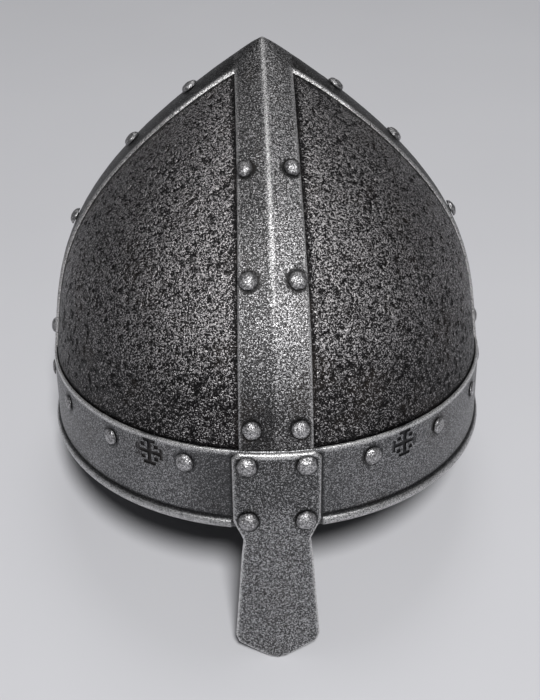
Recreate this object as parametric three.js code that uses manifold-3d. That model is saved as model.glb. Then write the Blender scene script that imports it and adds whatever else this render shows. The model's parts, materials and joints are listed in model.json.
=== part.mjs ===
// Spangenhelm: a conical helmet of four curved plates under a welded frame of four straps, with a brow
// band round the foot and a nose guard riveted over its front.
//
// The helmet is built upright: millimetres, +Z towards the crown, the face towards -Y, z = 0 at the
// rim. Left and right are those of someone looking at the front, so left is -X. At the end it is laid
// back to stand as it does by itself, on the tip of the nose guard and the rear of the rim.

import * as THREE from 'three';
import Module from 'manifold-3d';
import { mergeVertices } from 'three/addons/utils/BufferGeometryUtils.js';

const wasm = await Module();
wasm.setup();

// Overall form
const HALF_WIDTH = 107; // outside of the brow band, at the ears
const LENGTH_RATIO = 1.2; // length over width of every level section, an ellipse
const BAND_HEIGHT = 37;
const APEX_HEIGHT = 183;
const CROWN_SLOPE = THREE.MathUtils.degToRad(33.6); // of the wall at the apex, below level
const FOOT_LEAN = THREE.MathUtils.degToRad(7.5); // of the wall just above the band, off upright
const CROWN_PULL = 121.6; // handles of the curve between the two
const CROWN_BLUNT = 1.8; // how far the very tip is beaten down,
const CROWN_BLUNT_RADIUS = 4.5; // and how far out that reaches
const FOOT_PULL = 46;

// Walls, each a distance out from the outer face of the plates
const PLATE = 1.6;
const GAP = 0.3;
const STRAP_IN = GAP;
const STRAP_OUT = STRAP_IN + 1.3;
const BAND_THICKNESS = 1.4;
const PLATE_FOOT = 2; // the plates end this far above the rim
const PLATE_TOP_RADIUS = 9; // and leave this much open under the crown
const PLATE_SPLIT = 0.3; // half the gap between two neighbouring plates

// Straps
const FRONT_STRAP_HALF = 13.2; // at the crown
const FRONT_STRAP_FLARE = 2.4; // added at the foot
const SIDE_STRAP_HALF = 16.5;
const STRAP_FOOT = BAND_HEIGHT + GAP + 0.1;
const RIDGE_HEIGHT = 0.9;
const RIDGE_HALF = 5;
const RIDGE_SUNK = 0.3; // its two long edges, under the strap's face
const RIDGE_FOOT = 85; // height at which the ridge has faded out

// Rolled rim
const RIM_HEIGHT = 4.2;
const RIM_BULGE = 1.6;
const RIM_FOOT = 0.4; // of the bulge, how far the roll's lower edge stands out

// Nose guard
const NASAL_THICKNESS = 1.8;
const NASAL_PLATE_HALF = 18.7;
const NASAL_DROP = 68; // tip of the blade below the rim

// Rivets
const STRAP_HEAD = { radius: 4.1, dome: 2.8 };
const BAND_HEAD = { radius: 4.4, dome: 2.6 };
const FLAT_HEAD = { radius: 4, dome: 1.2 }; // the band's rivets past the second on each side
const NASAL_HEAD = { radius: 4.5, dome: 3 };
const HEAD_SHOULDER = 0.42; // of the dome's height, where its side turns in
const SHANK_RADIUS = 2;
const TAIL_RADIUS = 3.4;
const TAIL_HEIGHT = 1;
const TAIL_CHAMFER = 0.8;
const TAIL_GAP = 0.9;
const HOLE_CLEARANCE = 0.35;
const FRONT_RIVET_X = 10;
const FRONT_RIVET_HEIGHTS = [139, 103, 46];
const SIDE_RIVET_HEIGHTS = [159.5, 135.5, 98.5, 41.6];
const BAND_RIVET_HEIGHT = 28.5;
const BAND_STATIONS = 18; // equal steps round the band; the first is the nose guard's place
const BAND_SHIFT = 0.034; // of a step, how far they all stand to the right of that place
const ROUND_HEADS = 2; // stations on each side of the nose guard with round heads

// Stamped crosses
const CROSS_DEPTH = 0.5;
const CROSS_STATION = 1.43; // between the first two band rivets on each side
const CROSS_STRETCH = 1.18; // a cross's width over its height

// Facets
const SEGMENTS = 48;
const DOME_STEPS = 11;
const RIVET_SEGMENTS = 8;

const plateFoot = HALF_WIDTH - BAND_THICKNESS - GAP; // radius of the plates' outer face at the ears
const facetTurn = Math.PI / SEGMENTS; // puts the middle of a facet at the front, rear and ears
const aboveCrown = APEX_HEIGHT + 10; // clear of every wall, for the tops of cutting solids
const clearOfWalls = 200; // and for their sides

// A closed three.js geometry as a solid. Corners that meet are merged, and triangles that close up at
// a pole are dropped.
function solid(geometry) {
  const bare = geometry.clone();
  bare.deleteAttribute('normal');
  bare.deleteAttribute('uv');
  const merged = mergeVertices(bare, 1e-4);
  const corners = merged.index.array;
  const kept = [];
  for (let i = 0; i < corners.length; i += 3) {
    const [a, b, c] = corners.slice(i, i + 3);
    if (a !== b && b !== c && c !== a) kept.push(a, b, c);
  }
  return new wasm.Manifold(
    new wasm.Mesh({
      numProp: 3,
      vertProperties: new Float32Array(merged.attributes.position.array),
      triVerts: new Uint32Array(kept),
    }),
  );
}

function geometryOf(shape) {
  const mesh = shape.getMesh();
  const geometry = new THREE.BufferGeometry();
  geometry.setAttribute('position', new THREE.BufferAttribute(mesh.vertProperties, 3));
  geometry.setIndex(new THREE.BufferAttribute(mesh.triVerts, 1));
  return geometry;
}

// --- The form of the wall ------------------------------------------------------------------------

// Half of the ear-to-ear section of the plates' outer face, as (radius, height): one curve from the
// apex down to the top of the band.
const wallCurve = new THREE.CubicBezierCurve(
  new THREE.Vector2(0, APEX_HEIGHT),
  new THREE.Vector2(
    CROWN_PULL * Math.cos(CROWN_SLOPE),
    APEX_HEIGHT - CROWN_PULL * Math.sin(CROWN_SLOPE),
  ),
  new THREE.Vector2(
    plateFoot - FOOT_PULL * Math.sin(FOOT_LEAN),
    BAND_HEIGHT + FOOT_PULL * Math.cos(FOOT_LEAN),
  ),
  new THREE.Vector2(plateFoot, BAND_HEIGHT),
);

// A point of the section at a height, moved out along the wall's normal.
function wallPoint(t, out) {
  const point = wallCurve.getPointAt(t);
  const along = wallCurve.getTangentAt(t);
  return new THREE.Vector2(point.x - along.y * out, point.y + along.x * out);
}

function parameterAt(height) {
  let low = 0;
  let high = 1;
  for (let i = 0; i < 40; i += 1) {
    const middle = (low + high) / 2;
    if (wallCurve.getPointAt(middle).y > height) low = middle;
    else high = middle;
  }
  return (low + high) / 2;
}

// One face of a wall, from the axis down to a foot height, as a list of (radius, height).
function wallFace(out, foot) {
  const rise = out / Math.cos(CROWN_SLOPE);
  const points = [
    new THREE.Vector2(0, APEX_HEIGHT - CROWN_BLUNT + rise),
    new THREE.Vector2(CROWN_BLUNT_RADIUS, APEX_HEIGHT - CROWN_BLUNT_RADIUS * Math.tan(CROWN_SLOPE) + rise),
  ];
  for (let i = 0; i <= DOME_STEPS; i += 1) {
    const point = wallPoint(i / DOME_STEPS, out);
    if (point.x > 2 * CROWN_BLUNT_RADIUS && point.y > foot) points.push(point);
  }
  const end = foot > BAND_HEIGHT ? wallPoint(parameterAt(foot), out).x : plateFoot + out;
  points.push(new THREE.Vector2(end, foot));
  return points;
}

// Turns a (radius, height) outline round the axis, upright, and stretches it to the head's ellipse.
function turned(outline) {
  const geometry = new THREE.LatheGeometry(outline, SEGMENTS, facetTurn);
  geometry.rotateX(Math.PI / 2);
  geometry.scale(1, LENGTH_RATIO, 1);
  return solid(geometry);
}

function shell(inside, outside, foot) {
  const outer = wallFace(outside, foot).reverse();
  const inner = wallFace(inside, foot);
  return turned([...outer, ...inner, outer[0].clone()]);
}

// A flat outline in plan, as an upright prism.
function prism(points, bottom, top) {
  const shape = new THREE.Shape(points);
  const geometry = new THREE.ExtrudeGeometry(shape, { depth: top - bottom, bevelEnabled: false });
  geometry.translate(0, 0, bottom);
  return solid(geometry);
}

function box(low, high) {
  const geometry = new THREE.BoxGeometry(high[0] - low[0], high[1] - low[1], high[2] - low[2]);
  geometry.translate((high[0] + low[0]) / 2, (high[1] + low[1]) / 2, (high[2] + low[2]) / 2);
  return solid(geometry);
}

// --- Places for rivets and marks -----------------------------------------------------------------

// A level section's point at an angle round from the front, and its outward normal.
function onSection(angle, radius, height, slope) {
  const point = new THREE.Vector3(
    radius * Math.sin(angle),
    -radius * Math.cos(angle) * LENGTH_RATIO,
    height,
  );
  const normal = new THREE.Vector3(
    Math.sin(angle) * Math.cos(slope),
    (-Math.cos(angle) / LENGTH_RATIO) * Math.cos(slope),
    Math.sin(slope),
  ).normalize();
  return { point, normal };
}

// Where a rivet sits on the straps: its point on the outer face, the normal there, and how much wall
// it goes through.
function strapSeat(height, sideways, turn) {
  const head = STRAP_HEAD;
  const t = parameterAt(height);
  const along = wallCurve.getTangentAt(t);
  const slope = Math.atan2(along.x, -along.y);
  const outer = wallPoint(t, STRAP_OUT);
  const inner = wallPoint(t, -PLATE);
  const angle = turn + Math.asin(sideways / outer.x);
  const seat = onSection(angle, outer.x, outer.y, slope);
  const inside = onSection(angle, inner.x, inner.y, slope).point;
  return { ...seat, head, grip: seat.point.clone().sub(inside).dot(seat.normal) };
}

// The same on an upright wall, such as the band or the nose guard over it.
function bandSeat(angle, height, outside, head) {
  const seat = onSection(angle, outside, height, 0);
  const inside = onSection(angle, plateFoot - PLATE, height, 0).point;
  return { ...seat, head, grip: seat.point.clone().sub(inside).dot(seat.normal) };
}

// The angle of a station round the band. A negative one is left of the nose guard.
function bandAngle(station) {
  const front = -Math.PI / 2;
  const length = HALF_WIDTH * LENGTH_RATIO;
  const ring = new THREE.EllipseCurve(0, 0, HALF_WIDTH, length, front, front + 2 * Math.PI);
  ring.arcLengthDivisions = 2000;
  const point = ring.getPointAt(((station + BAND_SHIFT + BAND_STATIONS) % BAND_STATIONS) / BAND_STATIONS);
  return Math.atan2(point.x, -point.y / LENGTH_RATIO);
}

function placeOn(object, seat) {
  object.position.copy(seat.point);
  object.quaternion.setFromUnitVectors(new THREE.Vector3(0, 0, 1), seat.normal);
  object.updateMatrix();
  return object;
}

function placedSolid(geometry, seat) {
  const holder = placeOn(new THREE.Object3D(), seat);
  return solid(geometry.clone().applyMatrix4(holder.matrix));
}

const seats = {
  front_span_rivet: [],
  rear_span_rivet: [],
  side_span_rivet: [],
  band_rivet: [],
  nasal_rivet: [],
};
for (const height of FRONT_RIVET_HEIGHTS) {
  for (const x of [-FRONT_RIVET_X, FRONT_RIVET_X]) {
    seats.front_span_rivet.push(strapSeat(height, x, 0));
    seats.rear_span_rivet.push(strapSeat(height, x, Math.PI));
  }
}
for (const side of [-1, 1]) {
  for (const height of SIDE_RIVET_HEIGHTS) {
    seats.side_span_rivet.push(strapSeat(height, 0, (side * Math.PI) / 2));
  }
}
for (let station = 1; station < BAND_STATIONS; station += 1) {
  const round = Math.min(station, BAND_STATIONS - station) <= ROUND_HEADS;
  const head = round ? BAND_HEAD : FLAT_HEAD;
  seats.band_rivet.push(bandSeat(bandAngle(station), BAND_RIVET_HEIGHT, HALF_WIDTH, head));
}
const nasalOutside = HALF_WIDTH + GAP + NASAL_THICKNESS;
for (const [x, height] of [[12.4, 31.4], [12.2, 4.8]]) {
  for (const side of [-1, 1]) {
    const angle = side * Math.asin(x / nasalOutside);
    seats.nasal_rivet.push(bandSeat(angle, height, nasalOutside, NASAL_HEAD));
  }
}

// --- Rivets --------------------------------------------------------------------------------------

// One rivet, standing on its seat: a low dome, a shank through the walls and a tail hammered over
// inside.
function rivetGeometry({ grip, head }) {
  const base = GAP;
  const tail = -grip - TAIL_GAP;
  const outline = [
    [0, tail - TAIL_HEIGHT],
    [TAIL_RADIUS - TAIL_CHAMFER, tail - TAIL_HEIGHT],
    [TAIL_RADIUS, tail],
    [SHANK_RADIUS, tail],
    [SHANK_RADIUS, base],
    [head.radius, base],
    [head.radius * 0.93, base + head.dome * HEAD_SHOULDER],
    [head.radius * 0.62, base + head.dome * 0.82],
    [0, base + head.dome],
  ];
  const geometry = new THREE.LatheGeometry(
    outline.map(([radius, height]) => new THREE.Vector2(radius, height)),
    RIVET_SEGMENTS,
  );
  geometry.rotateX(Math.PI / 2);
  return geometryOf(solid(geometry));
}

function rivetHole(seat) {
  const proud = 3; // how far the cutter stands out of the outer face
  const depth = seat.grip + proud + 5;
  const radius = SHANK_RADIUS + HOLE_CLEARANCE;
  const geometry = new THREE.CylinderGeometry(radius, radius, depth, RIVET_SEGMENTS);
  geometry.rotateX(Math.PI / 2);
  geometry.translate(0, 0, proud - depth / 2);
  return placedSolid(geometry, seat);
}

const strapSeats = [...seats.front_span_rivet, ...seats.rear_span_rivet, ...seats.side_span_rivet];
const strapHoles = strapSeats.map(rivetHole);
const bandHoles = [...seats.band_rivet, ...seats.nasal_rivet].map(rivetHole);
const nasalHoles = seats.nasal_rivet.map(rivetHole);

function drilled(shape, holes) {
  return holes.reduce((rest, hole) => rest.subtract(hole), shape);
}

// --- Plates --------------------------------------------------------------------------------------

// Each plate is a quarter of one curved wall. Its foot is inside the band, and its top edge and its
// sides are under the straps.
function plate(side, front) {
  const far = clearOfWalls;
  const quarter = box(
    [side > 0 ? PLATE_SPLIT : -far, front ? -far : PLATE_SPLIT, 0],
    [side > 0 ? far : -PLATE_SPLIT, front ? -PLATE_SPLIT : far, aboveCrown],
  );
  const crownHole = new THREE.CylinderGeometry(PLATE_TOP_RADIUS, PLATE_TOP_RADIUS, 60, 12);
  crownHole.rotateX(Math.PI / 2);
  crownHole.translate(0, 0, APEX_HEIGHT);
  const blank = shell(-PLATE, 0, PLATE_FOOT).intersect(quarter).subtract(solid(crownHole));
  return drilled(blank, [...strapHoles, ...bandHoles]);
}

// --- Frame of straps -----------------------------------------------------------------------------

// Seen from above the straps are a cross. The front and rear ones widen towards the foot.
function crossPlan() {
  const reach = 140;
  const steps = 6;
  const halfLength = HALF_WIDTH * LENGTH_RATIO;
  const edge = [];
  for (let i = 0; i <= steps; i += 1) {
    const y = SIDE_STRAP_HALF + ((reach - SIDE_STRAP_HALF) * i) / steps;
    edge.push([FRONT_STRAP_HALF + FRONT_STRAP_FLARE * (y / halfLength) ** 4, y]);
  }
  const back = [...edge].reverse();
  const outline = [
    ...edge,
    ...back.map(([x, y]) => [-x, y]),
    [-reach, SIDE_STRAP_HALF],
    [-reach, -SIDE_STRAP_HALF],
    ...edge.map(([x, y]) => [-x, -y]),
    ...back.map(([x, y]) => [x, -y]),
    [reach, -SIDE_STRAP_HALF],
    [reach, SIDE_STRAP_HALF],
  ];
  return outline.map(([x, y]) => new THREE.Vector2(x, y));
}

// The medial ridge of the front and rear straps: a low wedge bent over the crown, fading out at both
// ends. Its underside is sunk in the strap.
function ridge() {
  const steps = 9;
  const geometry = new THREE.BoxGeometry(2 * RIDGE_HALF, 2, 1, 2, 2 * steps, 1);
  const place = geometry.attributes.position;
  const end = parameterAt(RIDGE_FOOT);
  const tip = parameterAt(APEX_HEIGHT - CROWN_BLUNT_RADIUS * Math.tan(CROWN_SLOPE)); // the first step
  for (let i = 0; i < place.count; i += 1) {
    const along = place.getY(i); // -1 at the front end, 1 at the rear
    const middle = 1 - Math.abs(place.getX(i)) / RIDGE_HALF;
    const fade = Math.min(1, 2.5 * (1 - Math.abs(along)));
    const top = STRAP_OUT - RIDGE_SUNK + middle * (0.2 + (RIDGE_HEIGHT + 0.1) * fade);
    const out = place.getZ(i) > 0 ? top : STRAP_OUT - 1;
    const past = (Math.abs(along) * steps - 1) / (steps - 1);
    const t = past < 0 ? 0 : tip + past * (end - tip);
    const apex = new THREE.Vector2(0, APEX_HEIGHT - CROWN_BLUNT + out / Math.cos(CROWN_SLOPE));
    const flat = t === 0 ? apex : wallPoint(t, out);
    const turn = flat.x > RIDGE_HALF ? Math.sqrt(1 - (place.getX(i) / flat.x) ** 2) : 1;
    const drop = flat.x > RIDGE_HALF ? 0 : Math.abs(place.getX(i)) * Math.tan(CROWN_SLOPE) * 0.5;
    place.setXYZ(i, place.getX(i), Math.sign(along) * flat.x * turn * LENGTH_RATIO, flat.y - drop);
  }
  return solid(geometry);
}

function spanFrame() {
  const straps = shell(STRAP_IN, STRAP_OUT, STRAP_FOOT);
  const cross = prism(crossPlan(), 0, aboveCrown);
  return drilled(straps.intersect(cross).add(ridge()), strapHoles);
}

// --- Brow band -----------------------------------------------------------------------------------

function ringOutline(pairs) {
  return turned([...pairs, pairs[0]].map(([radius, height]) => new THREE.Vector2(radius, height)));
}

// A cross potent with a small square in each corner, standing on z = 0 before it is placed, and wider
// than it is high.
function crossStamp() {
  const reach = 6.2;
  const bar = 0.8;
  const foot = 2.7;
  const footWidth = 1.5;
  const square = 0.85;
  const squareAt = 2.9;
  const arm = [
    [bar, reach - footWidth],
    [foot, reach - footWidth],
    [foot, reach],
    [-foot, reach],
    [-foot, reach - footWidth],
    [-bar, reach - footWidth],
    [-bar, bar],
  ];
  const outline = [];
  for (let quarter = 0; quarter < 4; quarter += 1) {
    const turn = (quarter * Math.PI) / 2;
    for (const [x, y] of arm) {
      outline.push(new THREE.Vector2(x, y).rotateAround(new THREE.Vector2(), turn));
    }
  }
  const shapes = [new THREE.Shape(outline)];
  for (const [x, y] of [[-1, -1], [1, -1], [1, 1], [-1, 1]]) {
    const middle = [x * squareAt, y * squareAt];
    shapes.push(new THREE.Shape([
      new THREE.Vector2(middle[0] - square, middle[1] - square),
      new THREE.Vector2(middle[0] + square, middle[1] - square),
      new THREE.Vector2(middle[0] + square, middle[1] + square),
      new THREE.Vector2(middle[0] - square, middle[1] + square),
    ]));
  }
  return shapes.map((shape) => {
    const geometry = new THREE.ExtrudeGeometry(shape, { depth: 4, bevelEnabled: false });
    return geometry.scale(CROSS_STRETCH, 1, 1);
  });
}

function stampCuts() {
  const cuts = [];
  for (const side of [-1, 1]) {
    const angle = bandAngle(side * CROSS_STATION);
    const seat = onSection(angle, HALF_WIDTH, BAND_RIVET_HEIGHT + 0.5, 0);
    const upright = new THREE.Matrix4().makeBasis(
      new THREE.Vector3(0, 0, 1).cross(seat.normal).normalize(),
      new THREE.Vector3(0, 0, 1),
      seat.normal,
    );
    upright.setPosition(seat.point.clone().addScaledVector(seat.normal, -CROSS_DEPTH));
    for (const geometry of crossStamp()) {
      cuts.push(solid(geometry.applyMatrix4(upright)));
    }
  }
  return cuts;
}

// The band is a plain hoop with its foot rolled outwards. The roll stops at the nose guard, which lies
// flat on the hoop.
function browBand() {
  const inside = HALF_WIDTH - BAND_THICKNESS;
  const chamfer = 0.5;
  const hoop = ringOutline([
    [inside, 0],
    [HALF_WIDTH, 0],
    [HALF_WIDTH, BAND_HEIGHT - chamfer],
    [HALF_WIDTH - chamfer, BAND_HEIGHT],
    [inside, BAND_HEIGHT],
  ]);
  const sunk = HALF_WIDTH - 0.5;
  const roll = ringOutline([
    [sunk, 0],
    [HALF_WIDTH + RIM_BULGE * RIM_FOOT, 0],
    [HALF_WIDTH + RIM_BULGE * 0.9, RIM_HEIGHT * 0.2],
    [HALF_WIDTH + RIM_BULGE, RIM_HEIGHT * 0.5],
    [HALF_WIDTH + RIM_BULGE * 0.8, RIM_HEIGHT * 0.8],
    [HALF_WIDTH, RIM_HEIGHT],
    [sunk, RIM_HEIGHT],
  ]);
  const clear = NASAL_PLATE_HALF + GAP;
  const nasalPlace = box([-clear, -clearOfWalls, -1], [clear, 0, RIM_HEIGHT + 1]);
  return drilled(hoop.add(roll.subtract(nasalPlace)), [...bandHoles, ...stampCuts()]);
}

// --- Nose guard ----------------------------------------------------------------------------------

// Front view of the right half, from the middle of the top edge to the tip, as (x, z).
const nasalOutline = [
  [NASAL_PLATE_HALF - 2.6, BAND_HEIGHT],
  [NASAL_PLATE_HALF, BAND_HEIGHT - 3],
  [NASAL_PLATE_HALF, 3.8],
  [14.4, -5.2],
  [15.4, -14],
  [16.9, -34],
  [18.7, -56.5],
  [17.4, -60],
  [3.2, -NASAL_DROP + 0.6],
];

// The plate and the blade are one piece, curved across like the band it lies on.
function nasal() {
  const inside = HALF_WIDTH + GAP;
  const wall = new THREE.Shape();
  const spread = Math.asin((NASAL_PLATE_HALF + 3) / inside);
  const from = -Math.PI / 2 - spread;
  const to = -Math.PI / 2 + spread;
  wall.absellipse(0, 0, nasalOutside, nasalOutside * LENGTH_RATIO, from, to, false);
  wall.absellipse(0, 0, inside, inside * LENGTH_RATIO, to, from, true);
  const options = { depth: BAND_HEIGHT + NASAL_DROP, bevelEnabled: false, curveSegments: 12 };
  const curved = new THREE.ExtrudeGeometry(wall, options);
  curved.translate(0, 0, -NASAL_DROP);
  const right = nasalOutline.map(([x, z]) => new THREE.Vector2(x, z));
  const tip = new THREE.Vector2(0, -NASAL_DROP);
  const left = nasalOutline.map(([x, z]) => new THREE.Vector2(-x, z)).reverse();
  const face = new THREE.Shape([...right, tip, ...left].reverse());
  const front2back = new THREE.ExtrudeGeometry(face, { depth: 60, bevelEnabled: false });
  front2back.rotateX(Math.PI / 2);
  front2back.translate(0, -HALF_WIDTH, 0);
  return drilled(solid(curved).intersect(solid(front2back)), nasalHoles);
}

// --- Assembly ------------------------------------------------------------------------------------

const plateSteel = { color: 0x4b4a4d, roughness: 0.55, metalness: 0.85 };
const strapSteel = { color: 0x77767a, roughness: 0.5, metalness: 0.85 };
const bandSteel = { color: 0x66656a, roughness: 0.5, metalness: 0.85 };
const rivetSteel = { color: 0xa2a2a6, roughness: 0.45, metalness: 0.9 };

const helmet = new THREE.Group();

function addPiece(name, geometry, look) {
  const mesh = new THREE.Mesh(geometry, new THREE.MeshStandardMaterial(look));
  mesh.name = name;
  helmet.add(mesh);
  return mesh;
}

addPiece('panel_front_left', geometryOf(plate(-1, true)), plateSteel);
addPiece('panel_front_right', geometryOf(plate(1, true)), plateSteel);
addPiece('panel_rear_left', geometryOf(plate(-1, false)), plateSteel);
addPiece('panel_rear_right', geometryOf(plate(1, false)), plateSteel);
addPiece('span_frame', geometryOf(spanFrame()), strapSteel);
addPiece('brow_band', geometryOf(browBand()), bandSteel);
addPiece('nasal', geometryOf(nasal()), strapSteel);

for (const [kind, places] of Object.entries(seats)) {
  places.forEach((seat, index) => {
    const rivet = addPiece(`${kind}_${index + 1}`, rivetGeometry(seat), rivetSteel);
    placeOn(rivet, seat);
  });
}

// Laid back until the inner edge of the blade's tip and the outer edge of the rear rim are level, with
// the middle of its box over the origin.
const rearRim = (HALF_WIDTH + RIM_BULGE * RIM_FOOT) * LENGTH_RATIO * Math.cos(facetTurn);
const tipInside = (HALF_WIDTH + GAP) * LENGTH_RATIO;
helmet.rotation.x = -Math.atan2(NASAL_DROP, rearRim + tipInside);

const group = new THREE.Group();
group.add(helmet);
const bounds = new THREE.Box3().setFromObject(group, true);
const middle = bounds.getCenter(new THREE.Vector3());
helmet.position.set(0, -middle.y, -bounds.min.z);

export default group;
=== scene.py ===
import json
import math
from bisect import bisect_left

import bmesh
import bpy
from mathutils import Matrix, Vector, kdtree, noise
from mathutils.geometry import interpolate_bezier

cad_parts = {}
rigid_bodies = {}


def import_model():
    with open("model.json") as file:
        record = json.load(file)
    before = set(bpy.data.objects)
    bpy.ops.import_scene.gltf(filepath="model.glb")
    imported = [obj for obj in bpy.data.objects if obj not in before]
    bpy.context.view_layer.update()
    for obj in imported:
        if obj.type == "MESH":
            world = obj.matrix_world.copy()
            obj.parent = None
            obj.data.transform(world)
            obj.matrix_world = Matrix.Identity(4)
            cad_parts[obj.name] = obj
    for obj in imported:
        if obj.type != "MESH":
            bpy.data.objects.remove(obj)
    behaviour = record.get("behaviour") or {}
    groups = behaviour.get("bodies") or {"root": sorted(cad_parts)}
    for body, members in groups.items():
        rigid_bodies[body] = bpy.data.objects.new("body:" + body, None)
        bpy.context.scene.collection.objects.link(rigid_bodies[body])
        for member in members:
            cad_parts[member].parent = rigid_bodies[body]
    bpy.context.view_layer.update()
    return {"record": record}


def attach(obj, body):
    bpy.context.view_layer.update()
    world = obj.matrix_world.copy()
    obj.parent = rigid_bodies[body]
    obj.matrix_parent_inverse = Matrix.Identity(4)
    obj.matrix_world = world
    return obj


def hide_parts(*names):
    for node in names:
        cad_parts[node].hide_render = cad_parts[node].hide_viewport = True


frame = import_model()

# --- Plates -----------------------------------------------------------------------------------------
# Four quarters of the skull, each raised from one piece of 1.6 mm steel sheet. They are left black and
# coarsely pitted, with silver rubbed over the high spots, its brightest specks painted glints, and
# painted shade darkens them low down, round to the ears and beside the straps. Their sides lie under the
# straps and their feet go down inside the brow band, and the rivets of both hold them.

# The helmet is drawn upright, in millimetres: +Z to the crown, the face to -Y, the rim at z = 0.
HALF_WIDTH = 107.0
LENGTH_RATIO = 1.2
BAND_TOP = 37.0
APEX = 183.0
CROWN_SLOPE = math.radians(33.6)
CROWN_PULL = 121.6
FOOT_LEAN = math.radians(7.5)
FOOT_PULL = 46.0
PLATE = 1.6
PLATE_RADIUS = 105.3
PLATE_FOOT = 2.0
PLATE_TOP_RADIUS = 9.0
PLATE_SPLIT = math.radians(0.3)
FRONT_STRAP_HALF = 13.2
FRONT_STRAP_FLARE = 2.4
SIDE_STRAP_HALF = 16.5

# It stands laid back: the record's mount on the rim says how the rim plane lies.
rim_mount = frame["record"]["mounts"][0]
rim_down = Vector(rim_mount["axis"])
lean = math.atan2(-rim_down.y, -rim_down.z)
rim_centre = Vector((0, rim_mount["pos_m"][1], rim_mount["pos_m"][2]))
LAID_BACK = Matrix.Translation(rim_centre) @ Matrix.Rotation(-lean, 4, "X") @ Matrix.Scale(0.001, 4)

SECTION_STEPS = 800


def skull_section():
    """The plates' outer face in the ear-to-ear section, from the apex to the band, in even steps:
    each a radius, a height and the two parts of the outward normal."""
    crown_handle = Vector((math.cos(CROWN_SLOPE), -math.sin(CROWN_SLOPE))) * CROWN_PULL
    foot_handle = Vector((-math.sin(FOOT_LEAN), math.cos(FOOT_LEAN))) * FOOT_PULL
    apex = Vector((0, APEX))
    foot = Vector((PLATE_RADIUS, BAND_TOP))
    curve = interpolate_bezier(apex, apex + crown_handle, foot + foot_handle, foot, 3000)
    lengths = [0.0]
    for before, after in zip(curve, curve[1:]):
        lengths.append(lengths[-1] + (after - before).length)
    steps = []
    for step in range(SECTION_STEPS + 1):
        along = lengths[-1] * step / SECTION_STEPS
        i = max(1, min(bisect_left(lengths, along), len(curve) - 1))
        part = (along - lengths[i - 1]) / (lengths[i] - lengths[i - 1])
        point = curve[i - 1].lerp(curve[i], part)
        way = (curve[i] - curve[i - 1]).normalized()
        steps.append((point.x, point.y, -way.y, way.x))
    return steps, lengths[-1]


section, SECTION_LENGTH = skull_section()
section_radii = [step[0] for step in section]
section_depths = [APEX - step[1] for step in section]


def wall(share):
    """Radius, height and normal at a share of the way from the apex to the band."""
    place = max(0.0, min(share, 1.0)) * SECTION_STEPS
    i = min(int(place), SECTION_STEPS - 1)
    part = place - i
    return [a + (b - a) * part for a, b in zip(section[i], section[i + 1])]


def share_where(steps, value):
    """The share at which a list that grows along the section reaches a value."""
    i = max(1, min(bisect_left(steps, value), SECTION_STEPS))
    part = (value - steps[i - 1]) / (steps[i] - steps[i - 1])
    return (i - 1 + part) / SECTION_STEPS


def smooth(low, high, value):
    """0 at low and 1 at high, smooth between. low may be the larger."""
    part = max(0.0, min((value - low) / (high - low), 1.0))
    return part * part * (3 - 2 * part)


def front_strap_half(y):
    return FRONT_STRAP_HALF + FRONT_STRAP_FLARE * (y / (HALF_WIDTH * LENGTH_RATIO)) ** 4


def finished(bm, name, material, nodes, sharp=50):
    """Makes the drawn mesh a piece of the object, where the helmet stands."""
    bmesh.ops.recalc_face_normals(bm, faces=bm.faces)
    limit = math.radians(sharp)
    for edge in bm.edges:
        edge.smooth = len(edge.link_faces) == 2 and edge.calc_face_angle() < limit
    for face in bm.faces:
        face.smooth = True
    bm.transform(LAID_BACK)
    mesh = bpy.data.meshes.new(name)
    bm.to_mesh(mesh)
    bm.free()
    mesh.materials.append(material)
    piece = bpy.data.objects.new(name, mesh)
    bpy.context.scene.collection.objects.link(piece)
    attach(piece, "root")
    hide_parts(*nodes)
    return piece


class Tone:
    """A number that varies over a surface. Arithmetic on it adds Math nodes."""

    def __init__(self, finish, socket):
        self.finish = finish
        self.socket = socket

    def math(self, operation, first, second):
        return self.finish.node("ShaderNodeMath", {"operation": operation}, {0: first, 1: second})

    def __add__(self, other):
        return self.math("ADD", self, other)

    def __radd__(self, other):
        return self.math("ADD", other, self)

    def __sub__(self, other):
        return self.math("SUBTRACT", self, other)

    def __rsub__(self, other):
        return self.math("SUBTRACT", other, self)

    def __mul__(self, other):
        return self.math("MULTIPLY", self, other)

    def __rmul__(self, other):
        return self.math("MULTIPLY", other, self)

    def step(self, low, high):
        """0 below one value and 1 above another, smooth between."""
        settings = {"interpolation_type": "SMOOTHSTEP"}
        return self.finish.node("ShaderNodeMapRange", settings, {0: self, 1: low, 2: high})


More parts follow.
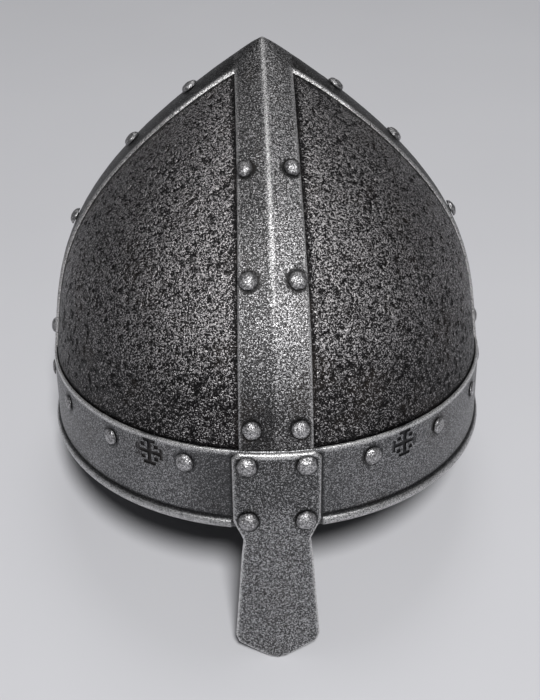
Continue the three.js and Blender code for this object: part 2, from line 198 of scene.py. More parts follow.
class Finish:
    """A steel surface: its material, and the one method that adds a node to it."""

    def __init__(self, name):
        self.material = bpy.data.materials.new(name)
        self.material.use_nodes = True
        self.tree = self.material.node_tree
        self.shader = self.tree.nodes["Principled BSDF"]

    def feed(self, socket, value):
        if isinstance(value, Tone):
            self.tree.links.new(value.socket, socket)
        else:
            socket.default_value = value

    def node(self, kind, settings, inputs, output=0):
        made = self.tree.nodes.new(kind)
        for setting, value in settings.items():
            setattr(made, setting, value)
        for socket, value in inputs.items():
            self.feed(made.inputs[socket], value)
        return Tone(self, made.outputs[output])

    def grain(self, size, detail=2.0, roughness=0.6):
        """Noise with lumps of about a size in millimetres."""
        place = self.node("ShaderNodeTexCoord", {}, {}, "Object")
        inputs = {"Vector": place, "Scale": 1000 / size, "Detail": detail, "Roughness": roughness}
        return self.node("ShaderNodeTexNoise", {}, inputs)

    def cells(self, size):
        """The distance to the nearest of points strewn about a size apart in millimetres: 0 at them."""
        place = self.node("ShaderNodeTexCoord", {}, {}, "Object")
        return self.node("ShaderNodeTexVoronoi", {}, {"Vector": place, "Scale": 1000 / size}, "Distance")

    def mark(self, name):
        """A number that the piece's mesh carries at each corner."""
        return self.node("ShaderNodeAttribute", {"attribute_name": name}, {}, "Fac")

    def blend(self, part, dark, bright):
        inputs = {"Factor": part, 6: dark, 7: bright}
        return self.node("ShaderNodeMix", {"data_type": "RGBA"}, inputs, 2)

    def bump(self, height, distance):
        return self.node("ShaderNodeBump", {}, {"Strength": 1.0, "Distance": distance, "Height": height})

    def set(self, **values):
        for name, value in values.items():
            self.feed(self.shader.inputs[name.replace("_", " ")], value)


def worn_steel(name, black, silver, lump, pit, holes, rub, even, level, rough, depth):
    """Blackened steel with silver rubbed over its high spots; the brightest of these are pushed towards
    white and stand for painted glints. lump is the size of its grain, pit the distance between its small
    pits and holes how large they are for that. rub is how high a spot has to be to catch silver, even how
    much silver is on it all over, and level how much more on the high spots. depth is how far the grain
    stands up, in millimetres. The mesh's marks say where it is bitten, where its edges are worn and carry
    painted highlight, and where painted shade, with some soot, darkens it."""
    steel = Finish(name)
    bite = steel.mark("bite")
    wear_and_highlight = steel.mark("wear_and_highlight")
    shade_and_soot = steel.mark("shade_and_soot")
    grain = steel.grain(lump, 2.0)
    fine = steel.grain(lump * 0.5, 1.0)
    cloud = steel.grain(34, 3.0)
    patch = steel.grain(26, 1.0).step(0.42, 0.58)
    pits = 1 - (steel.cells(pit) + fine * 0.3).step(0.15 + holes, 0.27 + holes)
    pits = pits * (0.25 + patch * 0.75)
    height = grain * 0.75 + fine * 0.25 - pits * 0.5
    high = grain * 0.6 + fine * 0.4 + wear_and_highlight * 0.1 - shade_and_soot * 0.1 - bite * 0.06
    rubbed_and_glint = (even + high.step(rub, rub + 0.24) * level) * (0.5 + cloud)
    rubbed_and_glint = rubbed_and_glint * (1 - pits * 0.92) * (1 - bite * 0.4) * (1 - shade_and_soot * 0.88)
    bright = rubbed_and_glint + wear_and_highlight * (0.12 + fine.step(0.38, 0.62) * 0.95)
    colour = steel.blend(bright, black, silver)
    # Painted glints: near-white specks on the worn edges that carry painted highlight, none in the
    # painted shade.
    colour = steel.blend(wear_and_highlight * fine.step(0.42, 0.56) * (1 - shade_and_soot), colour, (0.95, 0.94, 0.93, 1))
    rusty = steel.grain(21, 3.0).step(0.5, 0.7) * (1 - bright) * 0.3
    steel.set(
        Base_Color=steel.blend(rusty, colour, (0.046, 0.036, 0.029, 1)),
        Metallic=0.85,
        Roughness=rough + (0.5 - fine) * 0.25 + pits * 0.2 + bite * 0.1,
        Normal=steel.bump(height, depth * 0.001),
    )
    return steel.material


plate_steel = worn_steel(
    "plate_steel",
    black=(0.004, 0.0035, 0.004, 1),
    silver=(0.53, 0.51, 0.515, 1),
    lump=0.96,
    pit=2.7,
    holes=0.12,
    rub=0.47,
    even=0.02,
    level=2.7,
    rough=0.42,
    depth=0.7,
)

PLATE_COLUMNS = 220
PLATE_ROWS = 230
PLATE_DOME_ROWS = 0.93  # the share of the rows that is above the band


def plate_place(u, v, out):
    """A place on a plate: u round from the front to the side, v down from the crown, both 0 to 1."""
    angle = PLATE_SPLIT + (math.pi / 2 - 2 * PLATE_SPLIT) * u
    if v < PLATE_DOME_ROWS:
        top = share_where(section_radii, PLATE_TOP_RADIUS)
        radius, height, normal_out, normal_up = wall(top + (1 - top) * v / PLATE_DOME_ROWS)
        radius += normal_out * out
        height += normal_up * out
    else:
        sunk = (v - PLATE_DOME_ROWS) / (1 - PLATE_DOME_ROWS)
        radius = PLATE_RADIUS + out
        height = BAND_TOP + (PLATE_FOOT - BAND_TOP) * sunk
    return Vector((radius * math.sin(angle), -radius * math.cos(angle) * LENGTH_RATIO, height))


def from_straps(place):
    """How far a place is outside the edges of the straps and the band, at the least."""
    beside_front = abs(place.x) - front_strap_half(place.y)
    beside_side = abs(place.y) - SIDE_STRAP_HALF
    return min(beside_front, beside_side, place.z - BAND_TOP)


def bitten(place):
    """How deep a place is pitted, 0 to 1. The pits come in patches."""
    patch = noise.noise(place * 0.03)
    return smooth(0.26, 0.42, noise.noise(place * 0.4) + 0.16 * patch)


def plate(name, side, front, node):
    bm = bmesh.new()
    bmesh.ops.create_cube(bm, size=1, matrix=Matrix.Translation((0.5, 0.5, 0.5)))
    outer = [edge for edge in bm.edges if all(v.co.z > 0.5 for v in edge.verts)]
    inner = [edge for edge in bm.edges if all(v.co.z < 0.5 for v in edge.verts)]
    bmesh.ops.subdivide_edges(bm, edges=inner, cuts=31, use_grid_fill=True)
    across = [e for e in outer if abs(e.verts[0].co.x - e.verts[1].co.x) > 0.5]
    bmesh.ops.subdivide_edges(bm, edges=across, cuts=PLATE_COLUMNS - 1)
    down = [
        e
        for e in bm.edges
        if all(v.co.z > 0.999 for v in e.verts) and abs(e.verts[0].co.y - e.verts[1].co.y) > 0.5
    ]
    bmesh.ops.subdivide_edges(bm, edges=down, cuts=PLATE_ROWS - 1)
    bite_mark = bm.verts.layers.float.new("bite")
    shade_and_soot_mark = bm.verts.layers.float.new("shade_and_soot")
    turned = Matrix.Diagonal((side, front, 1))
    for vertex in bm.verts:
        u, v, w = vertex.co
        place = turned @ plate_place(u, v, 0)
        if w < 0.999:
            vertex.co = turned @ plate_place(u, v, -PLATE * (1 - w))
            # Painted shade on the inner face.
            vertex[shade_and_soot_mark] = 0.6
            continue
        clear = from_straps(place)
        bite = bitten(place) * smooth(0.5, 4, clear)
        swell = 0.12 * noise.noise(place / 11) + 0.08 * noise.noise(place / 2.4)
        vertex.co = turned @ plate_place(u, v, swell - 0.36 * bite)
        vertex[bite_mark] = bite
        # Painted shade: darker towards the band and round to the ears, and beside the straps and the band
        # painted shade with some soot in the seams.
        low = 0.34 * smooth(92, 50, place.z) + 0.16 * smooth(50, 90, abs(place.x))
        vertex[shade_and_soot_mark] = max(low, math.exp(-(max(clear, 0) / 1.9) ** 2))
    return finished(bm, name, plate_steel, [node], sharp=60)


for end, front in (("front", 1), ("rear", -1)):
    for hand, side in (("left", -1), ("right", 1)):
        plate(f"plate_{end}_{hand}", side, front, f"panel_{end}_{hand}")

# --- Rivet places -----------------------------------------------------------------------------------
# The rivets are set in pairs down the front and rear straps, singly down the middle of the side straps
# and at even steps round the band, and four hold the nose guard. A ring of painted shade, with some soot,
# lies round each.

STRAP_FACE = 1.6
BAND_RIVET_HEIGHT = 28.5
BAND_STATIONS = 18
BAND_SHIFT = 0.034  # of a step: the stations stand a little to the right of the nose guard's middle
CROSS_STATION = 1.43
NASAL_FACE = HALF_WIDTH + 2.1
STRAP_RIVET_HEIGHTS = (139, 103, 46)
STRAP_RIVET_SIDE = 10
SIDE_RIVET_HEIGHTS = (159.5, 135.5, 98.5, 41.6)
NASAL_RIVETS = ((12.4, 31.4), (12.2, 4.8))  # out from the middle, and up from the rim


def seat_on(angle, radius, height, normal_out, normal_up):
    """The place of a rivet and the way that it stands."""
    place = Vector((radius * math.sin(angle), -radius * math.cos(angle) * LENGTH_RATIO, height))
    way = Vector((math.sin(angle), -math.cos(angle) / LENGTH_RATIO, 0)) * normal_out
    return place, (way + Vector((0, 0, normal_up))).normalized()


def strap_seat(height, sideways, turn):
    """The same for a rivet on a strap. turn is 0 on the front strap and half a turn on the rear one."""
    radius, height, normal_out, normal_up = wall(share_where(section_depths, APEX - height))
    radius += normal_out * STRAP_FACE
    height += normal_up * STRAP_FACE
    return seat_on(turn + math.asin(sideways / radius), radius, height, normal_out, normal_up)


WALK_STEPS = 3600
walked = [0.0]
for step in range(WALK_STEPS):
    middle = 2 * math.pi * (step + 0.5) / WALK_STEPS
    walked.append(walked[-1] + math.hypot(math.cos(middle), LENGTH_RATIO * math.sin(middle)))


def band_angle(station):
    """The angle of a station round the band. A negative one is left of the nose guard."""
    part = (station + BAND_SHIFT) % BAND_STATIONS / BAND_STATIONS
    return 2 * math.pi * bisect_left(walked, walked[-1] * part) / WALK_STEPS


def strap_pairs(turn):
    sides = (-STRAP_RIVET_SIDE, STRAP_RIVET_SIDE)
    return [strap_seat(height, x, turn) for height in STRAP_RIVET_HEIGHTS for x in sides]


seats = {
    "front_span_rivet": strap_pairs(0),
    "rear_span_rivet": strap_pairs(math.pi),
    "side_span_rivet": [
        strap_seat(height, 0, side * math.pi / 2) for side in (-1, 1) for height in SIDE_RIVET_HEIGHTS
    ],
    "band_rivet": [
        seat_on(band_angle(station), HALF_WIDTH, BAND_RIVET_HEIGHT, 1, 0)
        for station in range(1, BAND_STATIONS)
    ],
    "nasal_rivet": [
        seat_on(side * math.asin(x / NASAL_FACE), NASAL_FACE, height, 1, 0)
        for x, height in NASAL_RIVETS
        for side in (-1, 1)
    ],
}
every_seat = [place for kind in seats.values() for place, _ in kind]
near_rivets = kdtree.KDTree(len(every_seat))
for index, place in enumerate(every_seat):
    near_rivets.insert(place, index)
near_rivets.balance()


RING_INSIDE = 4.5
RING_OUTSIDE = 5.7


def rivet_ring(place):
    """How much painted shade, with some soot, lies round the nearest rivet, 0 to 1."""
    return 1 - smooth(RING_INSIDE, RING_OUTSIDE, near_rivets.find(place)[2])


# --- Frame of straps --------------------------------------------------------------------------------
# One strap from brow to nape and one from ear to ear, welded into a cross at the crown. The long one is
# roofed: a low ridge runs down its middle and dies out half way. Their edges are rubbed bright and carry
# painted highlight, and painted shade darkens their feet, the left of the ridge and the side straps'
# faces.

STRAP_UNDER = 0.3
STRAP_FOOT = BAND_TOP + 0.4
ROOF = 0.5
CREST = 0.4
CREST_HALF = 2.2
RIDGE_FOOT = 85.0
CROWN_ROUNDING = 3.4
BLEND_RADIUS = 80.0  # where a strap's cross lines have turned from straight to level
ARM_STEP = 0.72
STRAP_STEP = 0.9

strap_steel = worn_steel(
    "strap_steel",
    black=(0.012, 0.0118, 0.012, 1),
    silver=(0.62, 0.61, 0.62, 1),
    lump=0.84,
    pit=2.6,
    holes=0.02,
    rub=0.45,
    even=0.045,
    level=1.32,
    rough=0.44,
    depth=0.42,
)


def crown_height(radius):
    """The height of the plates' outer face over a place, its slope there, and how far down it is."""
    rounded = math.hypot(radius, CROWN_ROUNDING)
    share = share_where(section_radii, rounded)
    _, height, _, normal_up = wall(share)
    return height, normal_up, share


def strap_point(x, y, out, straight):
    """A place over the plan (x, y), out from the plates' face: straight up at the crown, where straight
    is 1, and along the wall's normal further down."""
    radius = math.hypot(x, y / LENGTH_RATIO)
    height, normal_up, share = crown_height(radius)
    normal_out = wall(share)[2] * (1 - straight)
    grown = 1 + normal_out * out / max(radius, 1)
    lift = out / normal_up * straight + out * normal_up * (1 - straight)
    return Vector((x * grown, y * grown, height + lift)), share


def strap_plan(p, q):
    """The plan of the cross. p and q are within 1 in the middle, and up to 2 out along the arms.
    Also the distance inside the nearest edge, and how straight up the strap's thickness stands."""
    bunched_p = p * (1.25 - 0.25 * p * p) if abs(p) <= 1 else math.copysign(1, p)
    bunched_q = q * (1.25 - 0.25 * q * q) if abs(q) <= 1 else math.copysign(1, q)
    if abs(p) <= 1 and abs(q) <= 1:
        x = FRONT_STRAP_HALF * bunched_p
        y = SIDE_STRAP_HALF * bunched_q
        corner = math.hypot(FRONT_STRAP_HALF - abs(x), SIDE_STRAP_HALF - abs(y))
        return x, y, corner, 1.0
    foot_share = share_where(section_depths, APEX - STRAP_FOOT)
    along_front = abs(q) > 1
    reach = (abs(q) if along_front else abs(p)) - 1
    start = SIDE_STRAP_HALF / LENGTH_RATIO if along_front else FRONT_STRAP_HALF
    start_share = share_where(section_radii, start)
    radius = wall(start_share + (foot_share - start_share) * reach)[0]
    straight = 1 - smooth(start, BLEND_RADIUS, radius)
    if along_front:
        half = front_strap_half(radius * LENGTH_RATIO)
        x = half * bunched_p
        level = math.sqrt(radius**2 + straight * x**2)
        y = math.copysign(math.sqrt(level**2 - x**2) * LENGTH_RATIO, q)
        return x, y, half - abs(x), straight
    y = SIDE_STRAP_HALF * bunched_q
    level = math.sqrt(radius**2 + straight * (y / LENGTH_RATIO) ** 2)
    x = math.copysign(math.sqrt(level**2 - (y / LENGTH_RATIO) ** 2), p)
    return x, y, SIDE_STRAP_HALF - abs(y), straight


bm = bmesh.new()
across_front = round(2 * FRONT_STRAP_HALF / STRAP_STEP / 2) * 2
across_side = round(2 * SIDE_STRAP_HALF / STRAP_STEP / 2) * 2
along_arm = round(SECTION_LENGTH / ARM_STEP)
for columns, rows, centre_x, centre_y, wide, long in (
    (across_front, across_side, 0, 0, 2, 2),
    (across_front, along_arm, 0, 1.5, 2, 1),
    (across_front, along_arm, 0, -1.5, 2, 1),
    (along_arm, across_side, 1.5, 0, 1, 2),
    (along_arm, across_side, -1.5, 0, 1, 2),
):
    placed = Matrix.Translation((centre_x, centre_y, 1)) @ Matrix.Diagonal((wide / 2, long / 2, 1, 1))
    bmesh.ops.create_grid(bm, x_segments=columns, y_segments=rows, size=1, matrix=placed)
bmesh.ops.remove_doubles(bm, verts=bm.verts, dist=1e-5)
below = bmesh.ops.extrude_face_region(bm, geom=bm.faces[:], use_keep_orig=True)["geom"]
for vertex in below:
    if isinstance(vertex, bmesh.types.BMVert):
        vertex.co.z = 0
wear_and_highlight_mark = bm.verts.layers.float.new("wear_and_highlight")
shade_and_soot_mark = bm.verts.layers.float.new("shade_and_soot")
ridge_end = share_where(section_depths, APEX - RIDGE_FOOT)
for vertex in bm.verts:
    p, q, top = vertex.co
    x, y, inside, straight = strap_plan(p, q)
    place, share = strap_point(x, y, STRAP_FACE, straight)
    if top < 0.5:
        vertex.co = strap_point(x, y, STRAP_UNDER, straight)[0]
        # Underneath: painted shade, but for the rim, which is worn bright and carries painted highlight.
        vertex[wear_and_highlight_mark] = 0.8 if inside < 0.05 else 0
        vertex[shade_and_soot_mark] = 0 if inside < 0.05 else 0.7
        continue
    fade = min(1.0, 2.5 * max(0.0, 1 - share / ridge_end))
    roof = ROOF * max(0.0, 1 - abs(x) / FRONT_STRAP_HALF)
    crest = CREST * max(0.0, 1 - abs(x) / CREST_HALF)
    on_long_strap = abs(p) <= 1
    ridge = (roof + crest) * fade if on_long_strap else 0.0
    eased = 0.55 * max(0.0, 1 - inside / 1.1) ** 2
    swell = 0.07 * noise.noise(place / 5) + 0.05 * noise.noise(place / 1.9)
    vertex.co = strap_point(x, y, STRAP_FACE + ridge - eased + swell - 0.05, straight)[0]
    # The edges and the crest line are worn bright and carry painted highlight.
    edge = math.exp(-((inside / (0.8 if on_long_strap else 1.3)) ** 2))
    crown_line = math.exp(-((x / 0.9) ** 2)) * fade if on_long_strap else 0.0
    vertex[wear_and_highlight_mark] = max(edge, crown_line * 0.7)
    # Painted shade: darker at the foot and left of the ridge. The side straps are dark all over in
    # painted shade but for their edges.
    low = 0.35 * smooth(70, 45, place.z) + 0.3 * smooth(0.5, -2, x) if on_long_strap else 0.5
    vertex[shade_and_soot_mark] = max(low, rivet_ring(place))
finished(bm, "strap_frame", strap_steel, ["span_frame"])

# --- Brow band --------------------------------------------------------------------------------------
# A hoop of 1.4 mm steel round the foot of the skull, riveted through the plates. Its foot is rolled
# outwards to a round bead, except under the nose guard. A cross potent with four small squares is
# stamped into each side of the brow.

BAND_INSIDE = HALF_WIDTH - 1.4
BAND_COLUMNS = 720
ROLL_HEIGHT = 4.2
ROLL_BULGE = 1.6
NASAL_PLATE_HALF = 18.7
CROSS_DEPTH = 0.55
CROSS_HEIGHT = BAND_RIVET_HEIGHT + 0.5

band_steel = worn_steel(
    "band_steel",
    black=(0.02, 0.02, 0.0215, 1),
    silver=(0.42, 0.42, 0.43, 1),
    lump=0.75,
    pit=2.4,
    holes=-0.02,
    rub=0.45,
    even=0.13,
    level=1.3,
    rough=0.42,
    depth=0.22,
)


def band_profile():
    """The hoop's section, up its outer face and down its inner one, as (radius, height)."""
    outline = [(BAND_INSIDE, 0.6), (BAND_INSIDE + 0.5, 0.15)]
    for step in range(9):
        turn = -math.pi / 2 + math.pi * step / 8
        reach = ROLL_BULGE * (0.4 + 0.6 * math.cos(turn)) if turn < 0 else ROLL_BULGE * math.cos(turn)
        outline.append((HALF_WIDTH + reach, 0.15 + ROLL_HEIGHT * (0.5 + 0.5 * math.sin(turn))))
    outline[-1] = (HALF_WIDTH - 0.25, ROLL_HEIGHT + 0.3)
    outline.append((HALF_WIDTH - 0.05, ROLL_HEIGHT + 1.1))
    rows = 20
    low = ROLL_HEIGHT + 1.9
    for row in range(rows + 1):
        outline.append((HALF_WIDTH, low + (BAND_TOP - 0.8 - low) * row / rows))
    outline += [(HALF_WIDTH - 0.12, BAND_TOP - 0.35), (HALF_WIDTH - 0.4, BAND_TOP - 0.05)]
    outline += [(BAND_INSIDE + 0.4, BAND_TOP), (BAND_INSIDE, BAND_TOP - 0.3)]
    return outline


def on_wall(place, way):
    """A matrix that stands something drawn round the origin, +Z out and +Y up, on an upright wall."""
    up = Vector((0, 0, 1))
    across = up.cross(way).normalized()
    return Matrix.Translation(place) @ Matrix((across, up, way)).transposed().to_4x4()


def cross_stamp(bm, placed):
    """The solid that cuts one stamped cross: four arms with a bar across each end, and four squares."""
    reach, bar, foot, foot_width = 6.2, 0.9, 2.8, 1.6
    square, square_at, stretch = 0.95, 3.0, 1.18
    corners = []
    for quarter in range(4):
        turn = Matrix.Rotation(quarter * math.pi / 2, 3, "Z")
        for x, y in (
            (bar, reach - foot_width),
            (foot, reach - foot_width),
            (foot, reach),
            (-foot, reach),
            (-foot, reach - foot_width),
            (-bar, reach - foot_width),
            (-bar, bar),
        ):
            corners.append(turn @ Vector((x, y, 0)))
    faces = [bm.faces.new([bm.verts.new(corner) for corner in corners])]
    for x in (-square_at, square_at):
        for y in (-square_at, square_at):
            placed_square = Matrix.Translation((x, y, 0))
            made = bmesh.ops.create_grid(
                bm, x_segments=1, y_segments=1, size=square, matrix=placed_square
            )
            faces += made["verts"][0].link_faces
    raised = bmesh.ops.extrude_face_region(bm, geom=faces, use_keep_orig=True)["geom"]
    tops = [v for v in raised if isinstance(v, bmesh.types.BMVert)]
    bmesh.ops.translate(bm, verts=tops, vec=(0, 0, 4))
    bmesh.ops.translate(bm, verts=bm.verts, vec=(0, 0, -CROSS_DEPTH))
    bmesh.ops.transform(bm, matrix=placed @ Matrix.Diagonal((stretch, 1, 1, 1)), verts=bm.verts)


bm = bmesh.new()
ring = [bm.verts.new((radius, 0, height)) for radius, height in band_profile()]
for before, after in zip(ring, ring[1:] + ring[:1]):
    bm.edges.new((before, after))
bmesh.ops.spin(
    bm,
    geom=bm.verts[:] + bm.edges[:],
    cent=(0, 0, 0),
    axis=(0, 0, 1),
    angle=2 * math.pi,
    steps=BAND_COLUMNS,
    use_merge=True,
)
for vertex in bm.verts:
    x, y, height = vertex.co
    radius = math.hypot(x, y)
    if y < 0 and abs(x) < NASAL_PLATE_HALF + 0.3 and radius > HALF_WIDTH:
        radius = HALF_WIDTH
    if height > BAND_TOP - 1:
        nick = noise.noise(Vector((x, y, height)) * 0.5) + 0.5 * noise.noise(Vector((x, y, height)) * 1.3)
        height -= 0.2 * max(0.0, nick)
        radius += 0.08 * nick if radius > HALF_WIDTH - 0.5 else 0
        radius = min(radius, HALF_WIDTH)
    angle = math.atan2(x, -y)
    vertex.co = (radius * math.sin(angle), -radius * math.cos(angle) * LENGTH_RATIO, height)
bmesh.ops.recalc_face_normals(bm, faces=bm.faces)
hoop_mesh = bpy.data.meshes.new("hoop")
bm.to_mesh(hoop_mesh)
bm.free()
hoop = bpy.data.objects.new("hoop", hoop_mesh)
bpy.context.scene.collection.objects.link(hoop)
cross_places = []
for side in (-1, 1):
    place, way = seat_on(band_angle(side * CROSS_STATION), HALF_WIDTH, CROSS_HEIGHT, 1, 0)
    cross_places.append(place)
    bm = bmesh.new()
    cross_stamp(bm, on_wall(place, way))
    bmesh.ops.recalc_face_normals(bm, faces=bm.faces)
    stamp_mesh = bpy.data.meshes.new("stamp")
    bm.to_mesh(stamp_mesh)
    bm.free()
    stamp = bpy.data.objects.new("stamp", stamp_mesh)
    bpy.context.scene.collection.objects.link(stamp)
    cut = hoop.modifiers.new("stamped", "BOOLEAN")
    cut.operation = "DIFFERENCE"
    cut.solver = "EXACT"
    cut.object = stamp
bpy.context.view_layer.update()
cut_mesh = bpy.data.meshes.new_from_object(hoop.evaluated_get(bpy.context.evaluated_depsgraph_get()))
bm = bmesh.new()
bm.from_mesh(cut_mesh)
for spare in [o for o in bpy.data.objects if o.name.split(".")[0] in ("hoop", "stamp")]:
    bpy.data.objects.remove(spare)
wear_and_highlight_mark = bm.verts.layers.float.new("wear_and_highlight")
shade_and_soot_mark = bm.verts.layers.float.new("shade_and_soot")
for vertex in bm.verts:
    place = vertex.co
    radius = math.hypot(place.x, place.y / LENGTH_RATIO)
    if radius < BAND_INSIDE + 0.2:
        # Painted shade on the inside.
        vertex[shade_and_soot_mark] = 0.7
        continue
    # The stamped crosses are filled dark: painted shade, with some soot.
    stamped = radius < HALF_WIDTH - 0.3 and any((place - c).length < 9.5 for c in cross_places)
    # The top edge and the bead are worn bright and carry painted highlight.
    top_edge = smooth(BAND_TOP - 2.0, BAND_TOP - 0.9, place.z)
    roll = 1 - smooth(ROLL_HEIGHT - 0.6, ROLL_HEIGHT, place.z)
    # Painted shade in the groove above the bead and under the nose guard.
    groove = math.exp(-(((place.z - ROLL_HEIGHT - 0.6) / 0.8) ** 2))
    beside_nasal = abs(place.x) - NASAL_PLATE_HALF if place.y < 0 else 99
    under_guard = math.exp(-((max(0.0, beside_nasal) / 1.4) ** 2))
    vertex[wear_and_highlight_mark] = max(top_edge, roll * 0.5)
    # Painted shade next to the nose guard, on the left most of all.
    shaded = (0.4 if place.x < 0 else 0.15) * smooth(26, 3, beside_nasal)
    hidden = max(groove * 0.8, rivet_ring(place) * 0.7, under_guard, shaded)
    vertex[shade_and_soot_mark] = 1.0 if stamped else hidden
finished(bm, "brow_hoop", band_steel, ["brow_band"], sharp=35)

# --- Nose guard -------------------------------------------------------------------------------------
# Plate and blade in one piece of 1.8 mm steel, bent to the curve of the band that it lies on and held
# by four rivets. Its edges are dressed round, and a faint ridge runs down the lower half of the blade.

NASAL_INSIDE = HALF_WIDTH + 0.3
NASAL_THICKNESS = 1.8
NASAL_DROP = 68.0
NASAL_STEP = 0.9
nasal_half = [
    (NASAL_PLATE_HALF - 2.6, BAND_TOP),
    (NASAL_PLATE_HALF, BAND_TOP - 3),
    (NASAL_PLATE_HALF, 3.8),
    (14.4, -5.2),
    (15.4, -14),
    (16.9, -34),
    (18.7, -56.5),
    (17.4, -60),
    (3.2, -NASAL_DROP + 0.6),
]
nasal_outline = [Vector(point) for point in nasal_half]
nasal_outline.append(Vector((0, -NASAL_DROP + 0.05)))
nasal_outline += [Vector((-x, z)) for x, z in reversed(nasal_half)]

nasal_steel = worn_steel(
    "nasal_steel",
    black=(0.014, 0.014, 0.0145, 1),
    silver=(0.5, 0.5, 0.51, 1),
    lump=0.8,
    pit=2.4,
    holes=-0.02,
    rub=0.455,
    even=0.09,
    level=1.55,
    rough=0.4,
    depth=0.3,
)


def from_outline(x, z):
    """How far a place is inside the nose guard's outline."""
    here = Vector((x, z))
    nearest = 99.0
    for start, end in zip(nasal_outline, nasal_outline[1:] + nasal_outline[:1]):
        along = end - start
        part = max(0.0, min((here - start).dot(along) / along.length_squared, 1.0))
        nearest = min(nearest, (here - start - along * part).length)
    return nearest


bm = bmesh.new()
face = bm.faces.new([bm.verts.new((point.x, point.y, 0)) for point in nasal_outline])
raised = bmesh.ops.extrude_face_region(bm, geom=[face], use_keep_orig=True)["geom"]
tops = [item for item in raised if isinstance(item, bmesh.types.BMVert)]
bmesh.ops.translate(bm, verts=tops, vec=(0, 0, NASAL_THICKNESS))
rim = [edge for edge in bm.edges if all(v.co.z > 1 for v in edge.verts)]
bmesh.ops.bevel(
    bm, geom=rim, offset=1.0, offset_type="OFFSET", segments=3, profile=0.5, affect="EDGES", material=-1
)
for plane_way, low, high in (
    ((1, 0, 0), -NASAL_PLATE_HALF, NASAL_PLATE_HALF),
    ((0, 1, 0), -NASAL_DROP, BAND_TOP),
):
    cuts = int((high - low) / NASAL_STEP)
    for cut in range(1, cuts):
        at = Vector(plane_way) * (low + (high - low) * cut / cuts)
        everything = bm.verts[:] + bm.edges[:] + bm.faces[:]
        bmesh.ops.bisect_plane(bm, geom=everything, dist=0.02, plane_co=at, plane_no=plane_way)
wear_and_highlight_mark = bm.verts.layers.float.new("wear_and_highlight")
shade_and_soot_mark = bm.verts.layers.float.new("shade_and_soot")
for vertex in bm.verts:
    x, z, out = vertex.co
    inside = from_outline(x, z)
    radius = NASAL_INSIDE + out
    if out > 0.2:
        crease = 0.5 * smooth(-8, -34, z) * min(1.0, abs(x) / 9)
        swell = 0.06 * noise.noise(Vector((x, z, 7)) / 4) + 0.04 * noise.noise(Vector((x, z, 3)) / 1.7)
        radius -= crease * out / NASAL_THICKNESS + 0.1 - swell
        # Its edges and top bar are worn bright and carry painted highlight.
        top_bar = smooth(BAND_TOP - 2.6, BAND_TOP - 1.7, z)
        vertex[wear_and_highlight_mark] = max(math.exp(-((inside / 0.75) ** 2)), top_bar)
    else:
        # Painted shade on the back.
        vertex[shade_and_soot_mark] = 0.7
    vertex.co = (x, -math.sqrt(radius**2 - x**2) * LENGTH_RATIO, z)
    if out > 0.2:
        # Painted shade, darker towards its top, and round the rivets.
        vertex[shade_and_soot_mark] = max(0.25 * smooth(4, 14, z), rivet_ring(vertex.co))
finished(bm, "nose_guard", nasal_steel, ["nasal"], sharp=40)

# --- Rivets -----------------------------------------------------------------------------------------
# Round-headed steel rivets, their heads hammered rough and rubbed silver. Each shank goes through the
# walls, and its tail is hammered over flat inside.

STRAP_HEAD = (4.1, 2.65)  # radius and height of the dome
SIDE_HEAD = (4.3, 2.65)
BAND_HEADS = ((4.3, 2.5), (3.9, 1.7), (3.9, 1.2))  # the first, the second and the rest, beaten flatter
NASAL_HEAD = (4.5, 3.0)
HEAD_GAP = 0.3
SHANK_RADIUS = 2.0
TAIL_RADIUS = 3.4
TAIL_HEIGHT = 1.0
RIVET_STEPS = 24
HEAD_RINGS = 7
WALL_DEPTHS = {"front": 3.2, "rear": 3.2, "side": 3.2, "band": 3.3, "nasal": 5.4}
HIGH_UP = 120  # the heads above it are hammered to ovals
OVAL = 0.86

rivet_steel = worn_steel(
    "rivet_steel",
    black=(0.07, 0.07, 0.073, 1),
    silver=(0.72, 0.71, 0.72, 1),
    lump=1.0,
    pit=2.4,
    holes=0.0,
    rub=0.41,
    even=0.14,
    level=0.8,
    rough=0.38,
    depth=0.45,
)


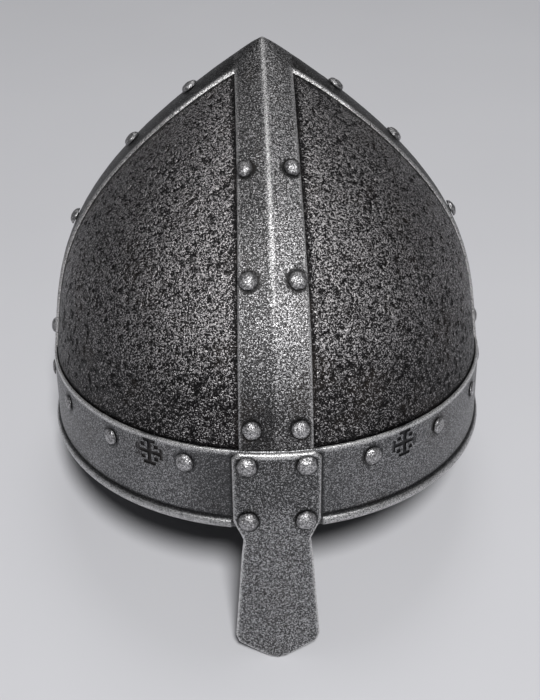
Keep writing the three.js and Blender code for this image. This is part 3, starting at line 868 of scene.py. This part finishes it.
def rivet(bm, place, way, depth, head, squeeze, shade_and_soot_mark):
    """One rivet. squeeze narrows its head to an oval."""
    radius, dome = head
    profile = []
    for ring_step in range(HEAD_RINGS + 1):
        turn = math.pi / 2 * ring_step / HEAD_RINGS
        profile.append((radius * math.sin(turn), HEAD_GAP + dome * math.cos(turn) ** 0.9))
    profile[-1] = (radius * 0.985, HEAD_GAP)
    profile.insert(-1, (radius, HEAD_GAP + 0.35))
    tail = -depth - 0.9
    profile += [(SHANK_RADIUS, HEAD_GAP), (SHANK_RADIUS, tail), (TAIL_RADIUS, tail)]
    profile += [(TAIL_RADIUS - 0.3, tail - 0.6), (TAIL_RADIUS - 1, tail - TAIL_HEIGHT)]
    profile.append((0, tail - TAIL_HEIGHT))
    made = bmesh.new()
    line = [made.verts.new((radius, 0, height)) for radius, height in profile]
    for before, after in zip(line, line[1:]):
        made.edges.new((before, after))
    bmesh.ops.spin(
        made,
        geom=made.verts[:] + made.edges[:],
        cent=(0, 0, 0),
        axis=(0, 0, 1),
        angle=2 * math.pi,
        steps=RIVET_STEPS,
        use_merge=True,
    )
    bmesh.ops.remove_doubles(made, verts=made.verts, dist=1e-4)
    for vertex in made.verts:
        local = vertex.co.copy()
        if local.z > HEAD_GAP - 0.01 and local.xy.length > SHANK_RADIUS - 1.9:
            dent = noise.noise((local + place) / 2.6) + 0.6 * noise.noise((local + place) / 1.1)
            local *= 1 - 0.11 * max(-0.3, dent) - 0.035
            local.x *= squeeze
            local.z = max(local.z, HEAD_GAP)
        vertex.co = local
    turned = Matrix.Translation(place) @ way.to_track_quat("Z", "Y").to_matrix().to_4x4()
    bmesh.ops.transform(made, matrix=turned, verts=made.verts)
    bmesh.ops.recalc_face_normals(made, faces=made.faces)
    spare = bpy.data.meshes.new("rivet")
    made.to_mesh(spare)
    made.free()
    known = len(bm.verts)
    bm.from_mesh(spare)
    bpy.data.meshes.remove(spare)
    bm.verts.ensure_lookup_table()
    for vertex in bm.verts[known:]:
        height = (vertex.co - place).dot(way)
        # Painted shade under the head and down the shank and tail.
        vertex[shade_and_soot_mark] = 0.75 * (1 - smooth(HEAD_GAP, HEAD_GAP + 0.9, height))


def head_of(kind, number, height):
    """A rivet's head, and how far it is squeezed."""
    if kind == "nasal_rivet":
        return NASAL_HEAD, 1.0
    if kind == "band_rivet":
        from_front = min(number, BAND_STATIONS - number)
        return BAND_HEADS[min(from_front, len(BAND_HEADS)) - 1], 1.0
    if kind == "side_span_rivet":
        return SIDE_HEAD, 1.0
    return STRAP_HEAD, OVAL if height > HIGH_UP else 1.0


for kind, places in seats.items():
    bm = bmesh.new()
    shade_and_soot_mark = bm.verts.layers.float.new("shade_and_soot")
    for number, (place, way) in enumerate(places, 1):
        head, squeeze = head_of(kind, number, place.z)
        rivet(bm, place, way, WALL_DEPTHS[kind.split("_")[0]], head, squeeze, shade_and_soot_mark)
    nodes = [f"{kind}_{number + 1}" for number in range(len(places))]
    finished(bm, f"{kind}s", rivet_steel, nodes, sharp=60)

# --- Floor, light and camera --------------------------------------------------------------------------
# The helmet stands on a plain pale floor. A soft lamp high in front of it throws the short dark shadow
# under its rim, and a weaker one lights the floor behind. The camera looks down at it from in front.

bm = bmesh.new()
bmesh.ops.create_grid(bm, x_segments=1, y_segments=1, size=4)
floor_mesh = bpy.data.meshes.new("floor")
bm.to_mesh(floor_mesh)
bm.free()
floor = bpy.data.objects.new("floor", floor_mesh)
bpy.context.scene.collection.objects.link(floor)
paper = Finish("pale_floor")
tint = paper.grain(160, 2.0)
paper.set(Base_Color=paper.blend(tint, (0.61, 0.61, 0.635, 1), (0.65, 0.65, 0.675, 1)), Roughness=0.85)
floor_mesh.materials.append(paper.material)

world = bpy.data.worlds.new("studio")
bpy.context.scene.world = world
world.use_nodes = True
world.node_tree.nodes["Background"].inputs["Color"].default_value = (0.93, 0.95, 1.0, 1)
world.node_tree.nodes["Background"].inputs["Strength"].default_value = 0.08


def soft_light(name, place, aim, size, power):
    lamp = bpy.data.lights.new(name, "AREA")
    lamp.shape = "DISK"
    lamp.size = size
    lamp.energy = power
    light = bpy.data.objects.new(name, lamp)
    light.location = place
    light.rotation_mode = "QUATERNION"
    light.rotation_quaternion = (Vector(aim) - Vector(place)).to_track_quat("-Z", "Y")
    bpy.context.scene.collection.objects.link(light)


soft_light("window", (0.16, -1.37, 2.05), (0, 0, 0.08), 0.5, 54)
soft_light("overhead", (0.1, 0.8, 1.9), (0, 0.3, 0), 0.9, 6)

CAMERA_DISTANCE = 0.5856
CAMERA_TURN = math.radians(-2.28)
CAMERA_ELEVATION = math.radians(39.36)
AIM = Vector((0.0021, 0.0097, 0.0566))
LONG_SIDE = 700
FOCAL = 1125

camera_data = bpy.data.cameras.new("camera")
camera_data.sensor_width = 36
camera_data.lens = camera_data.sensor_width * FOCAL / LONG_SIDE
camera = bpy.data.objects.new("camera", camera_data)
back = Vector(
    (
        math.sin(CAMERA_TURN) * math.cos(CAMERA_ELEVATION),
        -math.cos(CAMERA_TURN) * math.cos(CAMERA_ELEVATION),
        math.sin(CAMERA_ELEVATION),
    )
)
camera.location = AIM + back * CAMERA_DISTANCE
camera.rotation_mode = "QUATERNION"
camera.rotation_quaternion = (-back).to_track_quat("-Z", "Y")
camera_data.clip_start = 0.01
camera_data.clip_end = 50
bpy.context.scene.collection.objects.link(camera)
bpy.context.scene.camera = camera
bpy.context.scene.view_settings.view_transform = "Standard"
